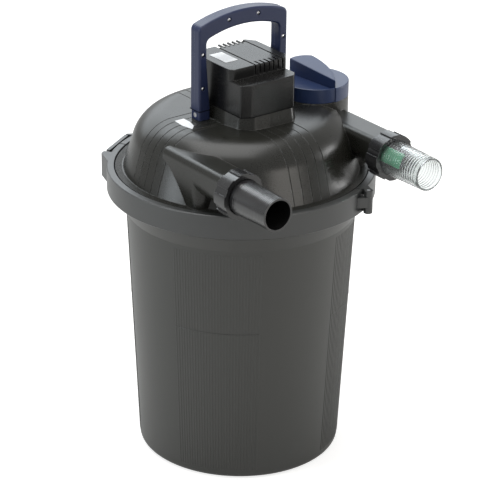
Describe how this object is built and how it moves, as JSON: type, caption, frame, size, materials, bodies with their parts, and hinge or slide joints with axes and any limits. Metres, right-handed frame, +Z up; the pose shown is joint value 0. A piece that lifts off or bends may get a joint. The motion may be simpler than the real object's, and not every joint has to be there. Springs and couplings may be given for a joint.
{
  "type": "pressurized pond filter",
  "caption": "Tall tapered pond filter with a domed lid, clamp ring, pump handle, lamp head, rotary valve and screwed hose tails.",
  "frame": {"origin": "centre of the container's underside, on the container's axis", "axes": "+Z up along the container's axis; the inlet and the dirty-water outlet point along -Y, the clean-water outlet points along +Y, and the valve is on the +X side"},
  "size_m": [0.38, 0.486, 0.6575],
  "materials": {
    "container_plastic": "satin moulded plastic",
    "lid_plastic": "glossy moulded plastic",
    "ring_plastic": "satin moulded plastic",
    "navy_plastic": "satin moulded plastic",
    "knob_plastic": "satin moulded plastic",
    "head_plastic": "satin moulded plastic",
    "black_plastic": "semi-gloss moulded plastic",
    "clear_plastic": "clear moulded plastic",
    "indicator_green": "glossy plastic",
    "steel": "stainless",
    "seal_rubber": "soft black rubber",
    "foam_blue": "open-cell foam",
    "quartz": "polished quartz",
    "lamp_glass": "clear lamp glass",
    "white_plastic": "smooth",
    "inner_plastic": "moulded plastic"
  },
  "bodies": {
    "filter_body": {"container": "container_plastic", "lid_seal": "seal_rubber", "lid": "lid_plastic", "clamp_ring_rear": "ring_plastic", "clamp_hinge_pin": "steel", "inlet_seal": "seal_rubber", "drain_seal": "seal_rubber", "outlet_seal": "seal_rubber", "inlet_hose_tail": "black_plastic", "drain_sight_tube": "clear_plastic", "outlet_hose_tail": "black_plastic", "sight_indicator": "indicator_green", "valve_cover": "inner_plastic", "valve_stem_seal": "seal_rubber", "lamp_head_housing": "head_plastic", "lamp_head_base": "inner_plastic", "lamp_head_screws": "steel", "lamp_head_seal": "seal_rubber", "quartz_sleeve": "quartz", "uvc_lamp": "lamp_glass", "lamp_socket": "white_plastic", "lamp_ballast": "white_plastic", "rod_seal_left": "seal_rubber", "rod_seal_right": "seal_rubber", "foam_upper_plate": "inner_plastic", "filter_foam_1": "foam_blue", "filter_foam_2": "foam_blue", "filter_foam_3": "foam_blue", "filter_foam_4": "foam_blue", "centre_tube": "inner_plastic", "head_label": "white_plastic", "lid_label": "white_plastic"},
    "clamp_front": {"clamp_ring_front": "ring_plastic", "latch_lever_pin": "steel"},
    "clamp_lever": {"latch_lever": "ring_plastic"},
    "clamp_link": {"latch_link": "ring_plastic", "latch_link_pin": "steel"},
    "pump_handle": {"handle_front_shell": "navy_plastic", "handle_rear_shell": "navy_plastic", "handle_screws": "steel", "handle_foot_pins": "steel", "handle_foot_left": "navy_plastic", "handle_foot_right": "navy_plastic", "pull_rod_left": "steel", "pull_rod_right": "steel", "rod_nuts": "steel", "foam_lower_plate": "inner_plastic"},
    "valve": {"valve_knob": "knob_plastic", "valve_spool": "inner_plastic"},
    "inlet_nut": {"inlet_union_nut": "black_plastic"},
    "drain_nut": {"drain_union_nut": "black_plastic"},
    "outlet_nut": {"outlet_union_nut": "black_plastic"}
  },
  "joints": [
    {"name": "handle_lift", "type": "slide", "parent": "filter_body", "child": "pump_handle", "axis": [0, 0, 1], "range_m": [0, 0.09], "deforming": ["filter_foam_1", "filter_foam_2", "filter_foam_3", "filter_foam_4"]},
    {"name": "valve_turn", "type": "hinge", "parent": "filter_body", "child": "valve", "pos_m": [0.125, -0.005, 0.509], "axis": [0, 0, 1], "range_deg": [0, 90]},
    {"name": "clamp_front_swing", "type": "hinge", "parent": "filter_body", "child": "clamp_front", "pos_m": [0.0841, -0.18035, 0.41], "axis": [0, 0, 1], "range_deg": [0, 3.3]},
    {"name": "clamp_lever_open", "type": "hinge", "parent": "clamp_front", "child": "clamp_lever", "pos_m": [-0.10551, 0.162, 0.41], "axis": [0, 0, -1], "range_deg": [0, 90]},
    {"name": "clamp_link_turn", "type": "hinge", "parent": "clamp_lever", "child": "clamp_link", "pos_m": [-0.11538, 0.15513, 0.41], "axis": [0, 0, 1], "range_deg": [0, 136]},
    {"name": "inlet_nut_turn", "type": "hinge", "parent": "filter_body", "child": "inlet_nut", "pos_m": [-0.126, -0.16, 0.467], "axis": [0, -1, 0], "range_deg": [0, 90]},
    {"name": "drain_nut_turn", "type": "hinge", "parent": "filter_body", "child": "drain_nut", "pos_m": [0.126, -0.17, 0.467], "axis": [0, -1, 0], "range_deg": [0, 90]},
    {"name": "outlet_nut_turn", "type": "hinge", "parent": "filter_body", "child": "outlet_nut", "pos_m": [0.126, 0.14, 0.467], "axis": [0, 1, 0], "range_deg": [0, 90]}
  ],
  "couplings": [
    {"joint": "clamp_front_swing", "follows": "clamp_lever_open", "ratio": 0.0356},
    {"joint": "clamp_link_turn", "follows": "clamp_lever_open", "ratio": 1.5}
  ]
}
